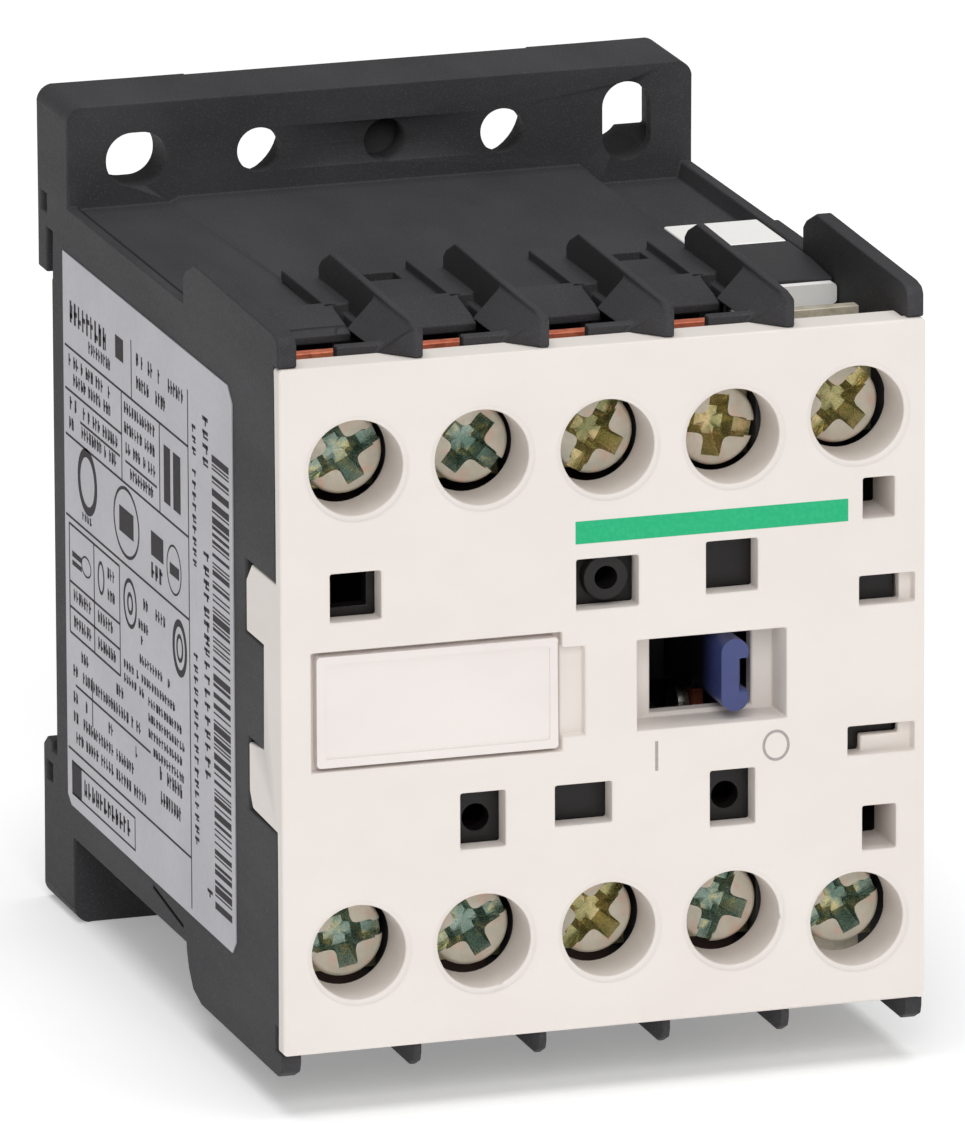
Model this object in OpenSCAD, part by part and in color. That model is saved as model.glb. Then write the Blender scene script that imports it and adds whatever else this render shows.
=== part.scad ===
// Din rail contactor: four poles and a coil, moving contacts on a sliding carrier.
// +Z up, +X to the right seen from the front, front face towards -Y.
// Origin: centre of the rail seat on the rear panel plane.

/* [Housing] */
// overall width
body_w = 45; // [44.6:0.1:46]
// height of the mounting plate
plate_h = 58; // [57.6:0.1:60]
// thickness of the mounting plate
plate_t = 7.35; // [7.3:0.05:8]
// depth from panel to front face
body_d = 57; // [57:0.1:57.6]
// height of the terminal fins over the roof
fin_h = 3.0; // [2:0.1:4]
// thickness of the inner fins
fin_t = 0.58; // [0.5:0.02:0.8]

/* [Mounting] */
// radius of the round panel holes
hole_r = 1.575; // [1.4:0.025:1.7]
// distance between the rows of panel holes
hole_pitch_z = 50; // [49.5:0.1:50.5]
// distance between the round panel holes
hole_pitch_x = 17.5; // [17:0.1:18]
// depth of the rail seat
rail_depth = 3.3; // [3:0.1:3.4]

/* [Terminals] */
// distance between neighbouring terminals
pitch = 8.74; // [8.7:0.01:8.76]
// radius of the screw wells in the front
well_r = 3.25; // [3.1:0.05:3.3]
// depth of the screw heads below the front
head_depth = 3.8; // [3.4:0.1:4]
// radius of the screw heads
head_r = 2.8; // [2.7:0.05:3]

/* [Mechanism] */
// travel of the contact carrier
travel = 3.5; // [3:0.1:3.5]
// contact gap with the coil off
contact_gap = 2.4; // [2.2:0.1:2.4]
// coil wire of the return spring, diameter
spring_wire = 0.45; // [0.35:0.05:0.5]

/* [Hidden] */
$fn = 48;
e = 0.02;
hw = body_w / 2;
hh = plate_h / 2;
front_y = -body_d;
cover_t = 1.8;                       // front wall of the cover
lip_y = front_y + 1.1;               // joint line on the side faces
cover_in = front_y + cover_t;        // inner face of the cover
rim_y = front_y + 2.7;               // rear end of the upper rim of the cover
cover_top = 22.55;
cover_bot = -24.55;
roof = 22.1;
floor_z = -22.9;
cav_top = 19.6;
cav_bot = -21.2;
wall = 1.3;
in_l = -hw + wall;                   // inner faces of the side walls
in_r = hw - 1.2;
cav_y = -5.8;                        // rear end of the cavity
zc = -1.2;                           // centre plane of the mechanism
pole_x = [for (i = [0:3]) -17.13 + i * pitch];
coil_x = -17.13 + 4 * pitch;
row_up = 15.43;
row_dn = -17.88;
coil_up = 16.3;
coil_dn = -18.75;
fins_x = [-17.13 + 4.08, -17.13 + pitch + 4.1, -17.13 + 2 * pitch + 4.06, 12.8];
fin_top = roof + fin_h;
fin_bot = floor_z - 3.45;
stub_t = 1.6;
barrier_t = 1.4;
foot_w = 4.6;                        // reach of the feet beside the fins
hood_y = -46;                        // front edge of the terminal hoods
hood_z = roof + 0.7;                 // rear edge of the hoods and top of the ribs
head_y = front_y + head_depth;
plate_y = -48.5;                     // front of the pole plates
tip_y = -40.5;                       // axis of the contact tips
tip_dz = 6;
mid_y0 = -32.4;                      // plate in the middle of the contact block
mid_y1 = -30.8;
mag_y0 = -24.4;                      // magnet stack
mag_y1 = -12.8;
mag_y = (mag_y0 + mag_y1) / 2;

dark = [0.27, 0.27, 0.28];
cream = [0.92, 0.89, 0.86];
black = [0.08, 0.08, 0.08];
blue = [0.28, 0.33, 0.6];
copper = [0.78, 0.42, 0.3];
steel = [0.6, 0.6, 0.62];
silver = [0.85, 0.85, 0.86];
zinc = [0.68, 0.64, 0.45];
white = [0.95, 0.94, 0.92];

// box from two corners
module bx(x0, x1, y0, y1, z0, z1) {
  translate([min(x0, x1), min(y0, y1), min(z0, z1)])
    cube([abs(x1 - x0), abs(y1 - y0), abs(z1 - z0)]);
}

// cylinder along Y from y0 to y1
module cy(x, z, r, y0, y1, r2 = -1) {
  translate([x, max(y0, y1), z]) rotate([90, 0, 0])
    cylinder(r1 = r, r2 = r2 < 0 ? r : r2, h = abs(y1 - y0));
}

// cylinder along X from x0 to x1
module cx(y, z, r, x0, x1) {
  translate([min(x0, x1), y, z]) rotate([0, 90, 0]) cylinder(r = r, h = abs(x1 - x0));
}

// flat rounded rectangle standing in XZ
module rr(x0, x1, z0, z1, r, y0, y1) {
  translate([0, max(y0, y1), 0]) rotate([90, 0, 0]) linear_extrude(abs(y1 - y0)) {
    translate([x0 + r, z0]) square([x1 - x0 - 2 * r, z1 - z0]);
    translate([x0, z0 + r]) square([x1 - x0, z1 - z0 - 2 * r]);
    for (x = [x0 + r, x1 - r], z = [z0 + r, z1 - r]) translate([x, z]) circle(r);
  }
}

// profile in YZ, extruded along X from x0 to x1
module yz(x0, x1, pts) {
  translate([x0, 0, 0]) rotate([90, 0, 90]) linear_extrude(x1 - x0) polygon(pts);
}

// profile in XZ, extruded along Y
module xz(y0, y1, pts) {
  translate([0, max(y0, y1), 0]) rotate([90, 0, 0]) linear_extrude(abs(y1 - y0)) polygon(pts);
}

// round bar swept along a list of points; u is a direction the path never takes
module sweep(path, r, u = [0, 0, 1], n = 8) {
  m = len(path);
  dir = [for (i = [0:m - 1])
    let (d = path[min(i + 1, m - 1)] - path[max(i - 1, 0)]) d / norm(d)];
  side = [for (d = dir) let (s = cross(d, u)) s / norm(s)];
  pts = [for (i = [0:m - 1], k = [0:n - 1])
    let (a = 360 * k / n, s = side[i], t = cross(dir[i], s))
    path[i] + r * (cos(a) * s + sin(a) * t)];
  sides = [for (i = [0:m - 2], k = [0:n - 1])
    let (a = i * n + k, b = i * n + (k + 1) % n) [a, b, b + n, a + n]];
  polyhedron(points = pts, faces = concat([for (f = sides) [f[3], f[2], f[1], f[0]]],
    [[for (k = [0:n - 1]) k]], [[for (k = [n - 1:-1:0]) (m - 1) * n + k]]), convexity = 10);
}

// compression spring along X from x0 to x1
module coil_x_spring(x0, x1, yc, z, r, wire, turns, steps = 12) {
  n = turns * steps;
  span = x1 - x0 - wire - 2 * e;
  flat = 0.75;
  path = [for (i = [0:n])
    let (t = i / steps, f = max(0, min(1, (t - flat) / (turns - 2 * flat))))
    [x0 + wire / 2 + e + span * f, yc + r * cos(360 * t), z + r * sin(360 * t)]];
  sweep(path, wire / 2, [1, 0, 0], 6);
}

// ---------------------------------------------------------------- base housing

// terminal fin: outline in YZ, over the roof or under the floor
module fin_up(x0, x1, ys = rim_y + e) {
  yz(x0, x1, [[-34.9, roof - 0.6], [-34.9, fin_top - 1.4], [-35.6, fin_top - 0.8],
    [-37.6, fin_top + 0.1], [front_y + 1.6, fin_top - 0.3], [front_y + 0.6, fin_top - 0.5],
    [front_y + 0.25, fin_top - 0.95], [front_y + 0.25, cover_top + e],
    [ys, cover_top + e], [ys, 20.2], [-46, 20.2], [-46, roof - 0.6]]);
}

// left flank of a fin widens towards its foot and narrows to the front
module flare(x) {
  intersection() {
    xz(-47.6, front_y + 0.25, [[x - 1.9, cover_top + e], [x + 0.4, cover_top + e],
      [x + 0.4, fin_top - 0.5], [x + 0.05, fin_top - 0.5]]);
    translate([0, 0, roof]) linear_extrude(4) polygon([[x - 2, -47], [x - 2, -54.4],
      [x + 0.05, front_y + 0.25], [x + 0.5, front_y + 0.25], [x + 0.5, -47]]);
  }
}

module fin_down(x0, x1) {
  yz(x0, x1, [[-34.3, floor_z + 0.6], [-34.4, floor_z - 0.4], [-34.9, floor_z - 1.7],
    [-35.9, floor_z - 2.9], [-37.8, fin_bot], [front_y + 1.5, fin_bot],
    [front_y + 0.5, fin_bot + 0.5], [front_y + 0.3, fin_bot + 1.1],
    [front_y + 0.3, cover_bot - e], [cover_in + e, cover_bot - e], [cover_in + e, -21.8],
    [-46, -21.8], [-46, floor_z + 0.6]]);
}

// panel holes of one row; s is +1 for the upper and -1 for the lower row
module panel_row(s) {
  zr = s * hole_pitch_z / 2;
  low = s > 0 ? 0 : 0.4;               // the lower left slot sits a little lower
  rr(-19.7, -15.3, zr - 1.9 - low, zr + 1.9 - low, 1.85, 1, -plate_t - 1);
  bx(-20.6, -13.2, 1, -3.75, s * 20.5, s * 27.6);
  for (x = [-1, 1]) {
    cy(x * hole_pitch_x / 2, zr, hole_r, 1, -plate_t - 1);
    cy(x * hole_pitch_x / 2, zr, 3.5, 1, -plate_t + 1);
  }
  cy(0.3, zr, hole_r - 0.05, -plate_t + 2.6, -plate_t - 1);
  for (z = [-1.05, 1.05]) cy(17.75, zr + z, 1.75, 1, -plate_t - 1);
  bx(16, 19.5, 1, -plate_t - 1, zr - 1.05, zr + 1.05);
  bx(16, 21.2, 1, -plate_t + 1, zr - 2.0, s * 27.8);
}

module latch_gap(s) {
  x = s * hw;
  bx(x - s * 1.4, x + s, -60, -49.1, 2.72, 7.78);
  bx(x - s * 1.4, x + s, -60, -53, -4.5, 2.8);
  bx(x - s * 1.4, x + s, -60, -49.5, -9.43, -4.42);
}

module base_housing() color(dark) {
  difference() {
    union() {
      rr(-hw, hw, -hh, hh, 1.2, 0, -plate_t);
      bx(-hw, hw, -7, lip_y + e, floor_z, roof);
    }
    // cavity and open front
    bx(in_l, in_r, cav_y, -60, cav_bot, cav_top);
    // space under the hoods
    bx(in_l, in_r, -41.5, -60, cav_top - 1, 21.2);
    // terminal bays, open to the front
    bx(in_l, in_r, hood_y, -60, 18, 24);
    bx(in_l, in_r, hood_y, -60, -20, -24);
    // hoods slope down to the front
    yz(in_l, 13.3, [[-44.6, roof + 0.02], [-44.6, roof + 1], [-47, roof + 1], [-47, 21.64]]);
    // coil bay is open behind the hoods
    bx(14.3, in_r, -25.6, -60, 19, 24);
    bx(13.3, in_r, -32.1, -60, 19, 24);
    bx(14.3, in_r, -25.6, -32.1, -20, -24);
    bx(13.3, in_r, -32.1, -60, -20, -24);
    // lowered strip at the left and rim beside it
    xz(-plate_t, -60, [[-hw + 0.7, roof + 1], [-hw + 0.7, roof - 0.35], [-15.2, roof - 0.35],
      [-14.5, roof], [-14.5, roof + 1]]);
    bx(-hw + 0.7, -hw + 1.0, -plate_t, -35.5, roof - 0.75, roof);
    bx(-hw - 1, -hw + 0.8, -plate_t, -35.5, roof - 0.15, roof + 1);
    // shallow valley behind the coil bay
    xz(-plate_t, -25.7, [[14.3, roof + 1], [14.3, roof], [15.9, 20.65], [21.4, 20.65],
      [21.7, roof - 0.3], [21.7, roof + 1]]);
    bx(21.6, hw + 1, -plate_t, -26.5, roof - 0.3, roof + 1);
    // two latch slots and the gaps between hoods and fins
    for (x = [-9.0, 8.5]) bx(x, x + 2.3, -31.6, -33.9, 19, 23);
    for (x = fins_x) bx(x - 1.05, x - 0.35, -41.4, -47, 19, 24);
    // rail seat, lip grooves and side notches
    bx(-hw - 1, hw + 1, 1, -rail_depth, -17.2, 16.2);
    bx(-hw - 1, hw + 1, -2.1, -3.6, 16, 19.4);
    bx(-hw - 1, hw + 1, -2.1, -3.3, -17, -17.95);
    bx(-19.9, 19.9, -2.1, -3.6, 19, 21.7);
    yz(-hw - 1, hw + 1, [[0.1, -17], [0.1, -17.97], [-0.95, -17.2], [-0.95, -17]]);
    for (s = [-1, 1], z = [21.1, -19.6])
      bx(s * (hw - 0.9), s * (hw + 1), -0.85, -2.2, z - 0.65, z + 0.65);
    panel_row(1);
    panel_row(-1);
    latch_gap(-1);
    latch_gap(1);
    // short groove on the left face
    translate([-hw, -26.6, -21.04]) rotate([7, 0, 0]) bx(-1, 0.3, -7.3, 0, -0.15, 0.15);
    // middle stretch of the upper rear edge is set back
    bx(-12, 12.8, 1, -0.4, hh - 0.25, hh + 1);
    bx(-12, 12.8, 1, -0.4, -hh + 0.25, -hh - 1);
  }
  // stubs between the bays carry the fins
  for (x = fins_x) {
    bx(x - stub_t / 2, x + stub_t / 2, hood_y + 0.5, rim_y + e, cav_top + 0.4, 21);
    bx(x - stub_t / 2, x + stub_t / 2, hood_y + 0.5, cover_in + e, cav_bot - 0.4, floor_z);
    fin_up(x + 0.05, x + 0.05 + fin_t);
    flare(x);
    fin_down(x - fin_t / 2, x + fin_t / 2);
    // foot beside the fin
    bx(x - foot_w, x - 0.35, -53.3, rim_y + e, 20.6, cover_top + 0.55);
    // rib beside the fin and the raised hood left of it
    bx(x - 1.6, x + 0.4, -31.7, -41.9, roof - 0.5, hood_z);
    yz(x - 1.1 - (x < -12 ? 7.1 : 6.7), x - 1.05, [[-41.2, roof - 0.4], [-41.2, hood_z],
      [-44.8, roof - 0.01], [-44.8, roof - 0.4]]);
    bx(x - foot_w, x - 0.35, -53.3, cover_in + e, -22.4, cover_bot + 0.3);
  }
  fin_up(-hw, in_l + 0.05, lip_y + e);
  fin_up(in_r, hw, lip_y + e);
  fin_down(-hw, in_l + 0.05);
  fin_down(in_r, hw);
  // ribs that hold the magnet and the bobbin
  for (z = [zc - 9, zc + 7.5]) bx(-20.2, -16.6, -4.9, mag_y1 + 0.02, z, z + 1.5);
  for (x = [-9, 6]) bx(x, x + 1.5, -4.9, -7.28, zc - 12, zc + 12);
  for (y = [-23.5, -14.8]) {
    bx(-21.4, -15.8, y, y + 1.5, zc + 14.52, cav_top + 0.5);
    bx(-21.4, -15.8, y, y + 1.5, zc - 14.52, cav_bot - 0.5);
  }
  // spigot for the return spring
  cx(-34.8, zc, 1.0, in_l - 0.3, in_l + 2.6);
}

// ---------------------------------------------------------------- front cover

module wells_cut() {
  for (x = pole_x, z = [row_up, row_dn]) {
    cy(x, z, well_r, -50, -60);
    cy(x, z, well_r + 0.2, front_y + 0.2, front_y - e, well_r + 0.42);
  }
  for (z = [coil_up, coil_dn]) {
    cy(coil_x, z, well_r, -50, -60);
    cy(coil_x, z, well_r + 0.2, front_y + 0.2, front_y - e, well_r + 0.42);
  }
}

// window right through the cover
module window(x0, x1, z0, z1) { bx(x0, x1, -50, -60, z0, z1); }

module latch_tab(s) {
  x = s * hw;
  x1 = s * (hw - 1.35);
  mirror([s > 0 ? 1 : 0, 0, 0]) {
    yz(-hw, -hw + 1.35, [[lip_y - 0.3, 2.8], [lip_y - 0.3, 7.75], [-50.4, 7.7], [-49.15, 6.4],
      [-49.15, 2.8]]);
    yz(-hw, -hw + 1.35, [[lip_y - 0.3, -4.45], [lip_y - 0.3, 2.82], [-53.02, 2.82], [-53.02, -4.45]]);
    yz(-hw, -hw + 1.35, [[lip_y - 0.3, -9.4], [lip_y - 0.3, -4.4], [-52.9, -4.4], [-49.55, -4.75],
      [-49.55, -8.1], [-50.3, -9.2]]);
  }
}

module front_housing() color(cream) {
  difference() {
    union() {
      rr(-hw, hw, cover_bot, cover_top, 0.3, front_y, lip_y);
      bx(in_l + 0.05, in_r - 0.05, lip_y - 0.1, cover_in, cover_bot + 0.3, cover_top - 0.3);
      bx(in_l + 0.05, in_r - 0.05, lip_y - 0.1, rim_y, cover_top - 1, cover_top);
      bx(1.3, 13.8, cover_in - 0.1, -52.7, -5.3, 3.0);
      for (x = pole_x, z = [row_up, row_dn]) cy(x, z, 4.0, cover_in - 0.1, -52.7);
      for (z = [coil_up, coil_dn]) intersection() {
        cy(coil_x, z, 4.05, cover_in - 0.1, -52.7);
        bx(10, in_r - 0.05, -50, -60, z - 5, z + 5);
      }
      for (z = [[-14.6, -10.2], [8.3, 12.5]]) bx(17.4, 21.1, cover_in - 0.1, -52.2, z[0], z[1]);
      latch_tab(-1);
      latch_tab(1);
    }
    wells_cut();
    window(-19.03, -15.47, 5.0, 8.35);
    window(-1.92, 2.45, 4.38, 7.9);
    window(7.16, 10.8, 4.75, 8.37);
    window(18.17, 20.42, 9.0, 11.84);
    window(17.92, 21.0, 3.03, 5.08);
    bx(20.5, 21.83, front_y + 1.0, -60, 3.03, 5.08);
    // stepped window: a ledge stands in its lower right part
    bx(17.12, 21.83, front_y + 1.0, -60, -7.3, -5.28);
    window(17.12, 18.3, -7.3, -5.28);
    window(17.12, 21.0, -6.2, -5.28);
    window(18.16, 20.55, -13.98, -10.88);
    window(7.42, 10.6, -11.4, -7.5);
    window(-3.45, 0.55, -10.4, -7.55);
    window(-10.06, -6.9, -11.4, -7.5);
    // indicator recess and the opening in its floor
    bx(2.33, 12.78, front_y + 3.1, -60, -4.25, 2.0);
    bx(4.18, 11.3, -50, -60, -3.97, 1.62);
    // marker recess with a finger notch
    bx(-20.37, -2.93, front_y + 1.0, -60, -5.2, 3.03);
    bx(-3.0, -1.35, front_y + 0.8, -60, -4.25, 1.95);
  }
}

module marker_plate() color(cream) {
  difference() {
    rr(-19.98, -3.18, -4.95, 2.7, 0.3, front_y + 0.98, front_y + 0.15);
    rr(-19.4, -3.76, -4.37, 2.12, 0.2, front_y + 0.25, front_y - 1);
  }
}

// ---------------------------------------------------------------- contact block

module shelf(s) {
  z0 = zc + s * 10.2;
  z1 = s > 0 ? cav_top - 0.15 : cav_bot + 0.15;
  difference() {
    union() {
      bx(in_l + 0.1, in_r - 0.1, -44.2, -42.7, z0, z1);
      bx(in_l + 0.1, in_r - 0.1, -42.8, mid_y1, z1 - s * 1.2, z1);
      for (x = fins_x) bx(x - barrier_t / 2, x + barrier_t / 2, mid_y0 + 0.1, -52.5, zc + s * 3.45, z1);
    }
    for (x = pole_x) cy(x, s > 0 ? row_up : row_dn, 1.85, -40, -50);
    cy(coil_x, s > 0 ? coil_up : coil_dn, 1.85, -40, -50);
    bx(13.6, 22, -42.6, mid_y1 + 1, z1 - s * 2, z1 + s);
    // the leg of the carrier passes here
    bx(11.9, 20.7, mid_y0 + 1, -37.3, zc - 4.7, zc + 4.7);
  }
}

// cover over the coil terminal; the tower of the bobbin ends behind it
module coil_hood(s) {
  zt = s > 0 ? roof : floor_z;
  x0 = fins_x[3] + fin_t + 0.12;       // clear of the last fin
  x1 = in_r - 0.1;
  yz(x0, x1, [[-32.2, zt], [-37.2, zt], [-41.6, zt - s * 0.35], [-41.6, zt - s * 0.75],
    [-32.2, zt - s * 0.75]]);
  bx(x0, 13.75, -32.2, -41.6, (s > 0 ? cav_top : cav_bot) - s * 1, zt - s * 0.1);
  bx(12.9, 13.6, -32.2, -41.6, (s > 0 ? cav_top : cav_bot) - s * 1, (s > 0 ? cav_top : cav_bot) - s * 0.2);
}

module contact_block() color(dark) {
  difference() {
    bx(in_l + 0.1, in_r - 0.1, mid_y0, mid_y1, cav_bot + 0.15, cav_top - 0.15);
    bx(11.9, 20.7, -20, -40, zc - 4.9, zc + 4.9);
    for (s = [-1, 1]) bx(13.7, 22, -20, -40, zc + s * 14.9, zc + s * 25);
  }
  shelf(1);
  shelf(-1);
  coil_hood(1);
  coil_hood(-1);
  // ledges in front of the carrier
  for (i = [0, 1, 3], s = [-1, 1])
    bx(fins_x[i] - barrier_t / 2, fins_x[i] + barrier_t / 2, -44.06, -45.2, zc + s * 2.3, zc + s * 3.6);
}

module arc_shield() color(black) {
  y0 = cover_in + 0.03;
  y1 = -53.9;
  difference() {
    union() {
      bx(-20.9, 20.9, y0, y1, -13.2, 10.8);
      cy(0.4, 6.3, 1.55, y0 + 0.2, front_y + 0.9);
    }
    bx(1.25, 13.85, -50, -60, -5.35, 3.05);
    bx(17.35, 21.5, -50, -60, -14.7, -10.15);
    bx(17.35, 21.5, -50, -60, 8.25, 12.6);
    for (z = [row_up, row_dn, coil_up, coil_dn], x = [for (p = pole_x) p, coil_x])
      cy(x, z, 4.2, -50, -60);
    cy(0.4, 6.3, 0.8, -50, -60);
    cy(9.0, -9.7, 0.95, -50, -60);
    cy(-8.5, -9.7, 0.95, -50, -60);
    bx(-18.6, -16, -50, -60, 5.6, 7.9);
  }
}

module side_label() color([0.68, 0.67, 0.68]) {
  translate([-hw - 0.08, 0, 0]) rotate([90, 0, 90]) linear_extrude(0.08) difference() {
    polygon([[-6.3, 18.75], [-45.3, 18.75], [-46.4, 17.7], [-46.4, -19.6], [-45.6, -20.5],
      [-7.2, -20.5], [-6.3, -19.9]]);
  }
}

// ---------------------------------------------------------------- coil

module coil_bobbin() color(white) {
  difference() {
    union() {
      bx(-15.4, 11.8, mag_y - 6.75, mag_y + 6.75, zc - 4.95, zc + 4.95);
      bx(-15.4, -14.0, -29.7, -7.5, zc - 9.6, zc + 9.6);
      bx(10.4, 11.8, -29.7, -7.5, zc - 17, zc + 17);
      for (s = [-1, 1]) bx(10.4, 21.1, -29.7, -25.9, zc + s * 15.1, zc + s * 17);
    }
    bx(-20, 15, mag_y - 5.95, mag_y + 5.95, zc - 4.15, zc + 4.15);
    for (s = [-1, 1]) bx(8, 14, mag_y0 - 0.2, mag_y1 + 0.2, zc + s * 9.85, zc + s * 14.7);
  }
  for (s = [-1, 1]) {
    zt = s > 0 ? roof - 0.02 : floor_z + 0.02;
    bx(14.4, 21.15, -25.7, -32.05, zc + s * 15.1, zt);
    zb = s > 0 ? roof - 0.85 : floor_z + 0.85;
    bx(14.4, 21.1, -31.9, -41.9, zb - s * 1.4, zb);
    bx(13.85, 14.5, -32.2, -41.9, zb - s * 1.4, zb);
    // rounded lip in front of the hood
    zl = s > 0 ? roof - 1.95 : floor_z + 0.5;
    rr(14.2, 21.2, zl, zl + 1.45, 0.35, -41.75, -42.5);
  }
}

// rounded block round the coil axis, half sizes a and b
module coil_block(x0, x1, a, b, r)
  translate([x0, mag_y, zc]) rotate([90, 0, 90]) linear_extrude(x1 - x0) {
    square([2 * a - 2 * r, 2 * b], center = true);
    square([2 * a, 2 * b - 2 * r], center = true);
    for (i = [-1, 1], k = [-1, 1]) translate([i * (a - r), k * (b - r)]) circle(r);
  }

module coil_winding() color(copper) difference() {
  coil_block(-13.97, 10.37, 10.6, 9.2, 3);
  bx(-15, 12, mag_y - 6.77, mag_y + 6.77, zc - 4.97, zc + 4.97);
}

module coil_wrap() color([0.85, 0.75, 0.4]) difference() {
  coil_block(-13.95, 10.35, 10.85, 9.45, 3.2);
  coil_block(-14.5, 12, 10.62, 9.22, 3.02);
}

// leads climb the right flange and end on the coil terminals
module coil_leads() color(copper)
  for (s = [-1, 1])
    sweep([[10.0, -28.6, zc + s * 9.75], [10.05, -28.9, zc + s * 12], [10.1, -29.3, zc + s * 14],
      [10.15, -30.15, zc + s * 15.2], [11.5, -30.3, zc + s * 16.2], [12.9, -30.35, zc + s * 16.6]],
      0.22, [0.3, 0.9, 0.1], 8);

module coil_terminals() color(zinc)
  for (s = [-1, 1]) {
    z = s > 0 ? coil_up : coil_dn;
    difference() {
      bx(coil_x - 2.9, coil_x + 2.9, plate_y, plate_y + 1, z - s * 3.6, z + s * 5.2);
      cy(coil_x, z, 1.85, -40, -50);
    }
    bx(coil_x - 2.2, coil_x + 2.2, plate_y + 0.9, -44.3, z + s * 2.7, z + s * 3.5);
  }

// ---------------------------------------------------------------- magnet

module fixed_core() color(steel)
  union() {
    bx(-20.3, -15.7, mag_y0, mag_y1, zc - 14.5, zc + 14.5);
    bx(-15.8, -2.0, mag_y0, mag_y1, zc - 4.0, zc + 4.0);
    for (s = [-1, 1]) bx(-15.8, -2.0, mag_y0, mag_y1, zc + s * 10, zc + s * 14.5);
  }

module core_pad() color([0.12, 0.12, 0.12])
  difference() {
    bx(in_l + 0.02, -20.32, mag_y0 + 0.8, mag_y1 - 0.8, zc - 13, zc + 13);
    bx(in_l - 1, -19, mag_y0 + 3.5, mag_y1 - 3.5, zc - 8, zc + 8);
  }

module armature() color(steel)
  difference() {
    union() {
      bx(15.9, 20.3, mag_y0, mag_y1, zc - 14.5, zc + 14.5);
      bx(travel - 1.95, 16, mag_y0, mag_y1, zc - 4.0, zc + 4.0);
      for (s = [-1, 1]) bx(travel - 1.95, 16, mag_y0, mag_y1, zc + s * 10, zc + s * 14.5);
    }
    bx(17.25, 18.95, mag_y0 - 1, mag_y0 + 4.1, zc - 4.55, zc + 4.55);
    cx(mag_y0 + 2.0, zc, 1.0, 15, 21);
  }

module armature_pin() color(silver) cx(mag_y0 + 2.0, zc, 0.97, 15.95, 20.25);

// ---------------------------------------------------------------- carrier and contacts

module contact_carrier() color(blue) {
  difference() {
    union() {
      bx(-17.5, 20.3, -44, -37, zc - 3.4, zc + 3.4);
      bx(-17.5, -7.0, -37.1, mid_y0 - 0.05, zc - 3.4, zc + 3.4);
      bx(15.9, 20.3, -37.1, mag_y0 - 0.05, zc - 4.5, zc + 4.5);
      bx(17.3, 18.9, mag_y0 - 0.1, mag_y0 + 4, zc - 4.5, zc + 4.5);
    }
    for (x = pole_x) bx(x + 1.9, x + 5.9, -42.5, -38.5, -20, 20);
    cx(-34.8, zc, 2.1, -20, -9.5);
    cx(mag_y0 + 2.0, zc, 1.0, 15, 21);
  }
  // indicator arm and its tab
  difference() {
    union() {
      bx(8.5, 10.35, -43.9, front_y + 2.5, zc - 1.5, zc + 1.5);
      translate([8.45, 0, zc]) rotate([90, 0, 90]) linear_extrude(1.95)
        polygon([[-43.9, -3.2], [-43.9, 3.2], [-50, 2.5], [front_y + 0.8, 2.5],
          [front_y + 0.8, -2.5], [-50, -2.5]]);
    }
    for (s = [-1, 1]) difference() {
      bx(8, 11, -50, -60, zc + s * 1.52, zc + s * 4);
      cy(9.425, zc + s * 1.52, 0.975, -40, -60);
    }
    bx(9.75, 11, front_y + 2.6, -60, zc - 1.1, zc + 1.1);
  }
}

module moving_bridges() color(copper)
  for (x = pole_x) bx(x + 1.9, x + 2.7, -42.3, -38.7, zc - 8, zc + 8);

module moving_tips() color(silver)
  for (x = pole_x, s = [-1, 1]) cx(tip_y, zc + s * tip_dz, 1.4, x + 1.0, x + 1.88);

module contact_springs() color(silver)
  for (x = pole_x) coil_x_spring(x + 2.7, x + 5.9, tip_y, zc, 1.3, 0.4, 4);

module return_spring() color(silver)
  coil_x_spring(in_l, -9.5, -34.8, zc, 1.55, spring_wire, 9);

module pole_plate(x, s) {
  z = s > 0 ? row_up : row_dn;
  zi = zc + s * 4.2;
  difference() {
    bx(x - 2.85, x + 2.85, plate_y, plate_y + 1, z - s * 6, z + s * 5.87);
    cy(x, z, 1.85, -40, -50);
  }
  bx(x - 3.32, x - 0.8, plate_y, plate_y + 1, zi, z - s * 5.9);
  bx(x - 3.32, x - 2.32, plate_y + 0.9, -38.5, zi, zi + s * 4);
}

module upper_pole_plates() color(copper) for (x = pole_x) pole_plate(x, 1);

module lower_pole_plates() color(copper) for (x = pole_x) pole_plate(x, -1);

module fixed_tips() color(silver)
  for (x = pole_x, s = [-1, 1])
    cx(tip_y, zc + s * tip_dz, 1.4, x + 1.0 - contact_gap - 0.9, x + 1.0 - contact_gap);

// ---------------------------------------------------------------- terminals

module screw(x, z) {
  difference() {
    union() {
      cy(x, z, head_r, head_y + 0.5, head_y + 2.0);
      cy(x, z, head_r, head_y + 0.5, head_y, head_r - 0.35);
    }
    bx(x - 4, x + 4, head_y - 1, head_y + 0.8, z - 0.45, z + 0.45);
    bx(x - 0.55, x + 0.55, head_y - 1, head_y + 1.3, z - 1.7, z + 1.7);
    bx(x - 1.7, x + 1.7, head_y - 1, head_y + 1.3, z - 0.55, z + 0.55);
  }
  cy(x, z, 1.72, head_y + 1.9, -43);
}

module clamp_washer(x, z)
  difference() {
    union() {
      bx(x - 2.9, x + 2.9, head_y + 2.02, head_y + 3.1, z - 2.75, z + 2.75);
      for (s = [-1, 1]) bx(x - 2.9, x + 2.9, head_y + 3.0, head_y + 3.6, z + s * 2.25, z + s * 2.75);
    }
    cy(x, z, 1.8, -40, -54);
  }

module square_nut(x, z)
  difference() {
    bx(x - 2.6, x + 2.6, plate_y + 1.02, -44.22, z - 2.6, z + 2.6);
    cy(x, z, 1.76, -40, -50);
  }

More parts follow.
